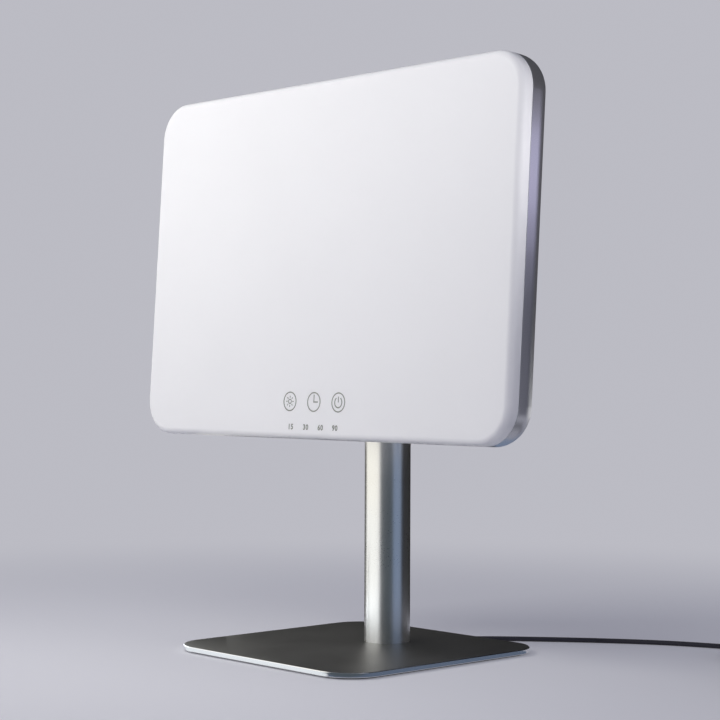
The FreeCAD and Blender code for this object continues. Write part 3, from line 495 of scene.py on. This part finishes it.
# ------------------------------------------------------------------ pan-head screws
# Four M4 screws hold the yoke to the steel sheet inside the shell. Eight smaller ones go in
# last, deep in the shell's recesses, and hold the front. All have a cross recess.
cross_slant = 0.22  # half the width of the cross's arms for each unit of their reach
first_corner = math.atan(cross_slant)
quarter_turn = np.concatenate(
    [[0.0], np.linspace(first_corner, math.pi / 2 - first_corner, 7)]
)
screw_turn = np.concatenate([quarter_turn + n * math.pi / 2 for n in range(4)])
# The recess at three depths: its reach and depth as shares of the head's radius and height.
recess_shape = ((0.56, 0.0), (0.46, 0.3), (0.20, 0.7))


def cross_reach(turn):
    """How far a cross of unit reach goes from its middle at each angle: the farther of its
    two arms, each of which ends at its reach or at its half width over the angle's sine."""
    above_zero = 1e-9
    along = np.maximum(np.abs(np.cos(turn)), above_zero)
    aside = np.maximum(np.abs(np.sin(turn)), above_zero)
    level_arm = np.minimum(1 / along, cross_slant / aside)
    upright_arm = np.minimum(1 / aside, cross_slant / along)
    return np.maximum(level_arm, upright_arm)


def pan_head_screw(name, node, place, tip, seat, shank, head, height, tilt):
    """A screw as rings from its tip to the floor of its recess: circles up the shank and over
    the domed head, then the cross's outline, which shrinks as it goes down into the head."""
    edge = 0.0002
    rim = 0.35 * height  # the straight side under the dome
    crown = 0.58 * head  # where the dome's curve would end on top
    dome = np.radians(np.array([20.0, 42.0, 66.0]))
    circles = [(shank - 2 * edge, tip), (shank, tip + 2 * edge), (shank, seat)]
    circles += [(head - edge, seat), (head, seat + edge), (head, seat + rim)]
    circles += [
        (crown + (head - crown) * math.cos(a), seat + rim + (height - rim) * math.sin(a))
        for a in dome
    ]
    round_rings = [(radius * np.ones_like(screw_turn), depth) for radius, depth in circles]
    cross_rings = [
        (reach * head * cross_reach(screw_turn), seat + height - depth * height)
        for reach, depth in recess_shape
    ]
    rings = [
        in_panel(
            place[0] + reach * np.cos(screw_turn + tilt),
            depth,
            place[1] + reach * np.sin(screw_turn + tilt),
        )
        for reach, depth in round_rings + cross_rings
    ]
    screw = surface(name, np.array(rings), "panel", zinc_plate, crease=40.0)
    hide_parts(node)


web_face = 0.0294
recess_floor = 0.0194
yoke_screw_places = [(x, z) for x in (-0.024, 0.024) for z in (-0.024, 0.024)]
for n, place in enumerate(yoke_screw_places):
    pan_head_screw(
        f"yoke_screw_{n + 1}", "yoke_screws", place, tip=0.0194, seat=web_face, shank=0.0020,
        head=0.0040, height=0.0028, tilt=0.4 + 1.1 * n,
    )
case_screw_places = [(x, z) for x in (-0.152, 0.152) for z in (-0.060, 0.060)]
case_screw_places += [(x, z) for x in (-0.110, 0.110) for z in (-0.099, 0.099)]
for n, place in enumerate(case_screw_places):
    pan_head_screw(
        f"case_screw_{n + 1}", "case_screws", place, tip=0.0049, seat=recess_floor,
        shank=0.00145, head=0.0028, height=0.0020, tilt=0.2 + 0.9 * n,
    )


# ------------------------------------------------------------------ printed marks
# Grey-green ink screened on the face: a ring round each touch field with a sign in it, and
# below them the four timer settings in minutes.
ink = grained(
    "screen ink", (0.24, 0.25, 0.215), roughness=0.55, grain=0.0006, height=0.000002, spread=0.15
)
ink_under = 0.00002  # how far the ink's solid goes into the face
ink_over = 0.00003
line_width = 0.0007
fine_line = 0.0006


def ink_line(name, path, width=line_width, looped=False):
    """A line of ink along a path on the face: a flat four-cornered section, square to it."""
    path = np.asarray(path, float)
    if looped:
        way = np.roll(path, -1, 0) - np.roll(path, 1, 0)
    else:
        way = np.gradient(path, axis=0)
    way /= np.linalg.norm(way, axis=1)[:, None]
    side = np.stack([-way[:, 1], way[:, 0]], 1) * width / 2
    left, right = path + side, path - side
    rings = np.stack(
        [
            in_panel(left[:, 0], ink_under, left[:, 1]),
            in_panel(left[:, 0], -ink_over, left[:, 1]),
            in_panel(right[:, 0], -ink_over, right[:, 1]),
            in_panel(right[:, 0], ink_under, right[:, 1]),
        ],
        1,
    )
    surface(name, rings, "panel", ink, looped)


def circle(centre, radius, first=0.0, last=360.0, steps=64, endpoint=False):
    """Points round a centre on the face between two angles in degrees."""
    turn = np.radians(np.linspace(first, last, steps, endpoint=endpoint))
    return np.stack([centre[0] + radius * np.cos(turn), centre[1] + radius * np.sin(turn)], 1)


def straight(centre, first, last):
    """Points of a straight line between two places beside a centre."""
    share = np.linspace(0, 1, 3)[:, None]
    return np.array(centre) + np.array(first) * (1 - share) + np.array(last) * share


light_mark = (-0.01675, -0.08662)
clock_mark = (0.00508, -0.08672)
power_mark = (0.02680, -0.08672)
mark_radius = 0.0056
sun_radius, ray_start, ray_end = 0.0013, 0.0022, 0.0034
hand_tail, hour_hand, minute_hand = 0.0004, 0.0036, 0.0044
power_radius, power_bar = 0.0031, 0.0034
for name, centre in (("light", light_mark), ("clock", clock_mark), ("power", power_mark)):
    ink_line(f"{name}_mark_ring", circle(centre, mark_radius), looped=True)
ink_line("light_mark_sun", circle(light_mark, sun_radius, steps=32), fine_line, looped=True)
for n in range(8):
    turn = n * math.pi / 4
    ray = np.array([math.cos(turn), math.sin(turn)])
    ray_line = straight(light_mark, ray * ray_start, ray * ray_end)
    ink_line(f"light_mark_ray_{n}", ray_line, fine_line)
ink_line("clock_mark_minutes", straight(clock_mark, (0, -hand_tail), (0, minute_hand)))
ink_line("clock_mark_hours", straight(clock_mark, (-hand_tail, 0), (hour_hand, 0)))
power_arc = circle(power_mark, power_radius, first=125, last=415, steps=40, endpoint=True)
ink_line("power_mark_arc", power_arc)
ink_line("power_mark_bar", straight(power_mark, (0, 0), (0, power_bar)))

# Each numeral is set in plain type, made a mesh, scaled to its height and laid on the face.
numeral_height = 0.0034
numeral_level = -0.1019
for text, across in (("15", -0.0147), ("30", -0.0012), ("60", 0.0120), ("90", 0.0248)):
    lettering = bpy.data.curves.new(f"timer_{text}", "FONT")
    lettering.body = text
    lettering.align_x = "CENTER"
    lettering.size = 1.0
    lettering.space_character = 1.15
    lettering.offset = 0.03
    lettering.extrude = 1.0
    lettering.resolution_u = 4
    written = new_object(f"timer_{text}_text", lettering)
    bpy.context.view_layer.update()
    mesh = bpy.data.meshes.new_from_object(written)
    bpy.data.objects.remove(written)
    flat = np.empty(len(mesh.vertices) * 3)
    mesh.vertices.foreach_get("co", flat)
    flat = flat.reshape(-1, 3)
    low, high = flat.min(0), flat.max(0)
    scale = numeral_height / (high[1] - low[1])
    sides = (flat[:, 0] - (low[0] + high[0]) / 2) * scale + across
    levels = (flat[:, 1] - (low[1] + high[1]) / 2) * scale + numeral_level
    depths = np.where(flat[:, 2] > 0, -ink_over, ink_under)
    mesh.vertices.foreach_set("co", in_panel(sides, depths, levels).reshape(-1))
    mesh.update()
    numeral = new_object(f"timer_{text}", mesh)
    dress(numeral, ink)
    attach(numeral, "panel")


# ------------------------------------------------------------------ supply cord
# A 3 mm low-voltage lead with a smooth dark jacket. It leaves the relief in the plate,
# runs out under the plate's back edge and along the table, and what is spare is wound
# into a tied coil of four layers of four turns before it reaches the adapter.
cord_width = 0.003
cord_route = [
    (0.0, 0.0295, 0.0015),
    (0.0, 0.0445, 0.0015),
    (0.0042, 0.060, 0.0015),
    (0.0106, 0.074, 0.0015),
    (0.020, 0.0885, 0.0015),
    (0.0325, 0.1015, 0.0015),
    (0.055, 0.1215, 0.0015),
    (0.082, 0.1435, 0.0015),
    (0.111, 0.1635, 0.0015),
    (0.142, 0.177, 0.0015),
    (0.1694, 0.1825, 0.0021),
]
tail_route = [
    (0.2037, 0.1794, 0.0104),
    (0.2173, 0.1706, 0.0088),
    (0.2293, 0.1591, 0.0105),
    (0.2375, 0.1464, 0.0146),
    (0.2450, 0.1333, 0.0150),
    (0.2650, 0.0987, 0.0150),
]
coil_centre = (0.1864, 0.1636)
coil_layers = 4
coil_turns = 4
coil_base = 0.00085
inner_turn = 0.0135  # radius of the innermost place
first_bearing = math.radians(104.0)
turned_through = 14.128
points_per_turn = 18
change = 0.25  # share of a turn in which the cord moves over to the next place

# The places across the coil in the order in which the cord fills them: inwards in the
# first layer, outwards in the next, and so on up.
across = [inner_turn + cord_width * n for n in range(coil_turns)]
places = []
for layer in range(coil_layers):
    level = coil_base + cord_width * (layer + 0.5)
    order = across[::-1] if layer % 2 == 0 else across
    places += [(radius, level) for radius in order]
places = np.array(places)

# Each move to the next place starts one turn after the move before it, or a move's length
# sooner where one of the two goes up to the next layer.
starts = [1.0 - change]
for n in range(2, len(places)):
    beside_layer_change = n % coil_turns in (0, 1)
    starts.append(starts[-1] + (1.0 - change if beside_layer_change else 1.0))
turn = np.linspace(0.0, turned_through, round(turned_through * points_per_turn) + 1)
over = np.clip((turn[:, None] - np.array(starts)) / change, 0.0, 1.0)
over = over * over * (3.0 - 2.0 * over)
radius, level = (places[0] + over @ np.diff(places, axis=0)).T
radius = radius / math.cos(math.pi / points_per_turn)
angle = first_bearing - 2.0 * math.pi * turn
coil_points = np.stack(
    [coil_centre[0] + radius * np.cos(angle), coil_centre[1] + radius * np.sin(angle), level], 1
)
cord_points = cord_route + [tuple(p) for p in coil_points.tolist()] + tail_route

cord_curve = bpy.data.curves.new("supply_cord", "CURVE")
cord_curve.dimensions = "3D"
line = cord_curve.splines.new("NURBS")
line.points.add(len(cord_points) - 1)
for point, place in zip(line.points, cord_points):
    point.co = (*place, 1.0)
line.order_u = 3
line.use_endpoint_u = True
line.resolution_u = 6
cord_curve.bevel_depth = cord_width / 2
cord_curve.bevel_resolution = 5
cord_curve.use_fill_caps = True
supply_cord = new_object("supply_cord", cord_curve)
dress(supply_cord, jacket)
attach(supply_cord, "stand")
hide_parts("cord_tube", "cord_coil", "cord_tail")

# ------------------------------------------------------------------ coil strap
# A black woven strap, 0.8 mm thick, goes once round the bundle of turns and holds the
# put-away cord together.
strap_thickness = 0.0008
strap_reach = math.radians(12.0)
strap_middle = math.radians(300.0)
strap_corner = 0.0012
bundle_half = (coil_turns * cord_width / 2, coil_layers * cord_width / 2)
bundle_radius = (across[0] + across[-1]) / 2
bundle_level = coil_base + bundle_half[1]


def strap_ring(gap, angle):
    """The strap's outline in the coil's cross-section at an angle, a gap away from the turns."""
    outline = rounded_outline(
        bundle_half[0] + gap, bundle_half[1] + gap, strap_corner + gap, steps=8
    )
    reach = bundle_radius + outline[:, 0]
    x = coil_centre[0] + reach * math.cos(angle)
    y = coil_centre[1] + reach * math.sin(angle)
    return np.stack([x, y, bundle_level + outline[:, 1]], 1)


strap_in, strap_edge = 0.00005, 0.00015
strap_out = strap_in + strap_thickness
sweep = strap_middle + np.linspace(-1, 1, 7) * strap_reach
strap_rings = [strap_ring(strap_in + strap_edge, sweep[0])]
strap_rings += [strap_ring(strap_out - strap_edge, sweep[0])]
strap_rings += [strap_ring(strap_out, a) for a in sweep]
strap_rings += [strap_ring(strap_out - strap_edge, sweep[-1])]
strap_rings += [strap_ring(strap_in + strap_edge, sweep[-1])]
strap_rings += [strap_ring(strap_in, a) for a in sweep[::-1]]
woven = grained(
    "woven strap", (0.03, 0.03, 0.033), roughness=0.85, grain=0.0006, height=0.00012, spread=0.35
)
cord_strap = surface(
    "cord_strap", np.array(strap_rings), "stand", woven, looped=True
)
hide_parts("coil_tie")

# ------------------------------------------------------------------ strain relief
# A soft tapered sleeve moulded round the cord where it enters the adapter, with the ring
# grooves that let such a sleeve bend.
adapter_turn = np.array(Matrix.Rotation(math.radians(-60.0), 3, "Z"))
relief_tip = np.array([0.2368, 0.1475, 0.0150])


def at_adapter(points):
    """Turns points made along X from the relief's tip to where the adapter lies."""
    return points @ adapter_turn.T + relief_tip


relief_length = 0.020
mouth_radius, tip_radius, foot_radius = 0.0021, 0.0024, 0.0040
groove_count = 6
groove_depth = 0.00055
first_groove, last_groove = 0.002, 0.0185
run = np.linspace(0, relief_length, 121)
taper = tip_radius + (foot_radius - tip_radius) * run / relief_length
groove = np.clip(2 * np.cos(2 * math.pi * groove_count * run / relief_length) - 0.9, 0, 1)
groove[(run < first_groove) | (run > last_groove)] = 0
relief_radius = taper - groove_depth * groove
relief_radius[0] = mouth_radius
side = np.linspace(0, 2 * math.pi, 48, endpoint=False)
relief_rings = np.stack(
    np.broadcast_arrays(
        run[:, None], relief_radius[:, None] * np.cos(side), relief_radius[:, None] * np.sin(side)
    ),
    -1,
)
strain_relief = surface(
    "adapter_strain_relief", at_adapter(relief_rings), "stand", moulded_rubber
)
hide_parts("adapter_relief")

# ------------------------------------------------------------------ adapter
# A plug-in supply moulded in two halves with a fine texture: it lies on its face, so the
# parting line goes round at half height and the blades are on top.
adapter_half = (0.036, 0.0225)
adapter_height = 0.030
adapter_edge = 0.004
adapter_middle = relief_length + adapter_half[0]


def adapter_ring(inset, level):
    """The adapter's outline drawn in by an inset, at a height above the table."""
    corner = max(adapter_edge - inset, 0.0004)
    outline = rounded_outline(adapter_half[0] - inset, adapter_half[1] - inset, corner, steps=9)
    height = np.full((len(outline), 1), level - relief_tip[2])
    return np.hstack([outline + (adapter_middle, 0), height])


parting = adapter_height / 2
parting_depth = 0.0003
mouth_half, floor_half = 0.0003, 0.0001  # half the parting groove's width, outside and inside
adapter_profile = arc((adapter_edge, adapter_edge), adapter_edge, 270, 180, 9)
adapter_profile += [(0, parting - mouth_half), (parting_depth, parting - floor_half)]
adapter_profile += [(parting_depth, parting + floor_half), (0, parting + mouth_half)]
adapter_profile += arc((adapter_edge, adapter_height - adapter_edge), adapter_edge, 180, 90, 9)
adapter_rings = np.array([adapter_ring(inset, level) for inset, level in adapter_profile])
adapter_plastic = grained(
    "adapter plastic", (0.035, 0.035, 0.038), roughness=0.55, grain=0.0007, height=0.00004,
    spread=0.12,
)
adapter_case = surface(
    "adapter_case", at_adapter(adapter_rings), "stand", adapter_plastic
)
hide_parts("adapter_body")

# ------------------------------------------------------------------ adapter blades
# Two blades stamped from brass and plated with nickel, each narrower and thinner at its tip.
# They stand in the adapter's upper face, near the end that is away from the cord.
blade_half = (0.003175, 0.00075)
blade_apart = 0.0127
blade_from_end = 0.016
blade_middle = relief_length + 2 * adapter_half[0] - blade_from_end - blade_half[0]
blade_profile = [  # level, less wide, less thick
    (0.024, 0.0, 0.0),
    (0.0455, 0.0, 0.0),
    (0.0466, 0.0010, 0.0002),
    (0.0470, 0.0014, 0.0005),
]


def blade_rings(side):
    """A blade as level rings from its foot to its tip: its outline, less wide and less thick."""
    rings = []
    for level, less_wide, less_thick in blade_profile:
        outline = rounded_outline(
            blade_half[0] - less_wide, blade_half[1] - less_thick, corner=0.0002, steps=4
        )
        height = np.full((len(outline), 1), level - relief_tip[2])
        rings.append(np.hstack([outline + (blade_middle, side * blade_apart / 2), height]))
    return at_adapter(np.array(rings))


plated = grained(
    "nickel plate", (0.72, 0.70, 0.66), roughness=0.22, grain=0.0006, height=0.000003, spread=0.05,
    Metallic=1.0,
)
blades = [
    surface(f"adapter_blade_{name}", blade_rings(way), "stand", plated)
    for name, way in (("left", -1), ("right", 1))
]
for blade in blades:
    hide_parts("adapter_blades")

# ------------------------------------------------------------------ surroundings
# A pale floor that fades into the pale surroundings. The camera and gloss see both paler
# than the even light that they give.
surround = (0.50, 0.50, 0.55)
even_light = (0.27, 0.275, 0.34)
world = bpy.data.worlds.new("surroundings")
bpy.context.scene.world = world
world.use_nodes = True
tree = world.node_tree


def as_seen(tree):
    """A value that is 1 where the camera, gloss or glass looks, and 0 for light on the part."""
    light_path = tree.nodes.new("ShaderNodeLightPath")
    seen = light_path.outputs["Is Camera Ray"]
    for kind in ("Is Glossy Ray", "Is Transmission Ray"):
        either = tree.nodes.new("ShaderNodeMath")
        either.operation = "MAXIMUM"
        tree.links.new(seen, either.inputs[0])
        tree.links.new(light_path.outputs[kind], either.inputs[1])
        seen = either.outputs["Value"]
    return seen


sky = tree.nodes.new("ShaderNodeMix")
sky.data_type = "RGBA"
sky.inputs["A"].default_value = (*even_light, 1)
sky.inputs["B"].default_value = (*surround, 1)
tree.links.new(as_seen(tree), sky.inputs["Factor"])
tree.links.new(sky.outputs["Result"], tree.nodes["Background"].inputs["Color"])

floor_reach = 9.0
rim = np.linspace(0, 2 * math.pi, 96, endpoint=False)
rim_points = np.stack([floor_reach * np.cos(rim), floor_reach * np.sin(rim), 0 * rim], 1)
floor_mesh = bpy.data.meshes.new("floor")
floor_mesh.from_pydata(rim_points.tolist(), [], [list(range(len(rim)))])
floor = new_object("floor", floor_mesh)
floor_finish, tree, shader, place = new_finish("pale floor")
shader.inputs["Base Color"].default_value = (0.84, 0.84, 0.87, 1)
shader.inputs["Roughness"].default_value = 0.9
shader.inputs["Specular IOR Level"].default_value = 0.0
glow = tree.nodes.new("ShaderNodeEmission")
glow.inputs["Color"].default_value = (*surround, 1)

# Away from the lamp the floor goes over into the colour of the surroundings.
distance = tree.nodes.new("ShaderNodeVectorMath")
distance.operation = "LENGTH"
tree.links.new(place, distance.inputs[0])
fade = tree.nodes.new("ShaderNodeMapRange")
fade.interpolation_type = "SMOOTHSTEP"
fade.inputs["From Min"].default_value = 0.15
fade.inputs["From Max"].default_value = 0.8
fade.inputs["To Min"].default_value = 0.25
tree.links.new(distance.outputs["Value"], fade.inputs["Value"])
shown = tree.nodes.new("ShaderNodeMath")
shown.operation = "MULTIPLY"
tree.links.new(fade.outputs["Result"], shown.inputs[0])
tree.links.new(as_seen(tree), shown.inputs[1])
both = tree.nodes.new("ShaderNodeMixShader")
tree.links.new(shown.outputs["Value"], both.inputs["Fac"])
tree.links.new(shader.outputs["BSDF"], both.inputs[1])
tree.links.new(glow.outputs["Emission"], both.inputs[2])
tree.links.new(both.outputs["Shader"], tree.nodes["Material Output"].inputs["Surface"])
dress(floor, floor_finish)


# ------------------------------------------------------------------ cards
# As round any metal lamp in a studio, white and dark cards stand round the post, some close
# by and some further off, one beside the panel's right end and a small one at the plate's
# left corner. Two strips lie along the plate's front and right edges. Only gloss sees them.
def bent(first, last, reach):
    """The foot of a card bent round the post between two bearings, in degrees to the right
    of the view's direction back to the camera."""
    bearing = np.radians(np.linspace(first, last, 25))[:, None]
    towards = np.array([math.sin(heading), -math.cos(heading)])
    aside = np.array([math.cos(heading), math.sin(heading)])
    return post_axis[:2] + reach * (np.cos(bearing) * towards + np.sin(bearing) * aside)


def shining(name, rows, colours):
    """A sheet through rows of points that gives light to gloss alone, with a colour of its own
    between each row and the next."""
    rows = np.array(rows)
    count = rows.shape[1]
    first = np.arange(count - 1)
    band = np.stack([first, first + 1, first + 1 + count, first + count], 1)
    faces = np.concatenate([band + n * count for n in range(len(colours))])
    mesh = bpy.data.meshes.new(name)
    mesh.from_pydata(rows.reshape(-1, 3).tolist(), [], faces.tolist())
    piece = new_object(name, mesh)
    finishes = []
    for colour in colours:
        material, tree = new_finish(name)[:2]
        shine = tree.nodes.new("ShaderNodeEmission")
        shine.inputs["Color"].default_value = (*colour, 1)
        output = tree.nodes["Material Output"]
        tree.links.new(shine.outputs["Emission"], output.inputs["Surface"])
        finishes.append(material)
    dress(piece, *finishes)
    mesh.polygons.foreach_set("material_index", np.repeat(np.arange(len(colours)), count - 1))
    piece.visible_camera = False
    piece.visible_diffuse = False
    piece.visible_transmission = False
    piece.visible_shadow = False


def card(name, foot, levels, *colours):
    """An upright card over the line of its foot, with a colour between each two levels."""
    rows = [np.hstack([foot, np.full((len(foot), 1), level)]) for level in levels]
    shining(name, rows, colours)


near, far = 0.135, 0.60
desk_high, room_high = 0.125, 0.75
card(
    "white card", bent(-126, -41, near), (0.0, 0.004, 0.014, 0.080, desk_high),
    (0.80, 0.84, 0.88), (1.95, 2.06, 2.14), (1.10, 1.11, 1.09), (1.13, 1.11, 1.03),
)
card("tall white card", bent(-150, -41, far), (0.0, room_high), (0.98, 0.97, 0.92))
card(
    "far white card", bent(75, 215, far), (0.0, 0.14, 1.30), (0.78, 0.78, 0.79), (0.05, 0.05, 0.055)
)
card("front card", bent(-35, 26, near), (0.0, desk_high), (0.07, 0.085, 0.10))
card("blue card", bent(26, 68, near), (0.0, desk_high), (0.20, 0.26, 0.38))
card("right card", bent(68, 176, near), (0.0, 0.132), (0.010, 0.010, 0.011))
card("back card", bent(176, 234, near), (0.0, desk_high), (0.03, 0.03, 0.03))
corner_foot = np.array([(-0.0928, -0.0294), (-0.1173, -0.0557)])
card("corner card", corner_foot, (0.0, 0.050), (0.03, 0.03, 0.03))
side_foot = np.array([(0.204, 0.063), (0.238, 0.033)])
card(
    "side card", side_foot, (0.115, 0.222, 0.244, 0.266, 0.318, 0.336, 0.420),
    (0.025, 0.027, 0.055), (0.10, 0.10, 0.16), (0.34, 0.325, 0.48), (0.62, 0.59, 0.84),
    (0.24, 0.23, 0.30), (0.02, 0.018, 0.02),
)

on_floor = 0.0003
plate_half, plate_corner = 0.082, 0.0235
strip_edges = (0.0002, 0.030)  # how far from the plate's edge a strip begins and ends
front_strip = [
    [(x, -plate_half - edge, on_floor) for x in (-0.105, 0.060)] for edge in strip_edges
]
shining("front strip", front_strip, [(0.82, 0.86, 0.90)])
corner_middle = plate_half - plate_corner
corner_turn = np.radians(np.linspace(-84, 0, 9))
right_strip = []
for edge in strip_edges:
    reach = plate_corner + edge
    x = corner_middle + reach * np.cos(corner_turn)
    y = -corner_middle + reach * np.sin(corner_turn)
    row = np.stack([x, y, np.full(len(x), on_floor)], 1)
    right_strip.append(np.vstack([row, (x[-1], 0.081, on_floor)]))
shining("right strip", right_strip, [(0.10, 0.13, 0.19)])


# ------------------------------------------------------------------ lights
# A soft warm light up to the left of the panel's front, a weaker one up to its right, and a
# small one close to its right end.
def soft_light(name, place, target, size, power, colour):
    """A lamp of that width, four fifths as high, that points from its place at a target."""
    data = bpy.data.lights.new(name, "AREA")
    data.shape = "RECTANGLE"
    data.size, data.size_y = size, 0.8 * size
    data.energy = power
    data.color = colour
    lamp = new_object(name, data)
    lamp.location = place
    aim = Vector(target) - Vector(place)
    lamp.rotation_euler = aim.to_track_quat("-Z", "Y").to_euler()
    lamp.visible_camera = False
    lamp.visible_glossy = False


panel_middle = (0.0, 0.0, 0.28)
panel_end = (0.162, -0.03, 0.288)
soft_light(
    "left light", (-0.32, -0.44, 0.50), panel_middle, size=0.25, power=1.74,
    colour=(1.0, 0.985, 0.94),
)
soft_light(
    "right light", (0.18, -0.36, 0.48), panel_middle, size=0.25, power=0.50,
    colour=(1.0, 0.985, 0.95),
)
soft_light(
    "side light", (0.245, 0.0, 0.295), panel_end, size=0.05, power=0.052, colour=(1.0, 0.98, 0.97)
)
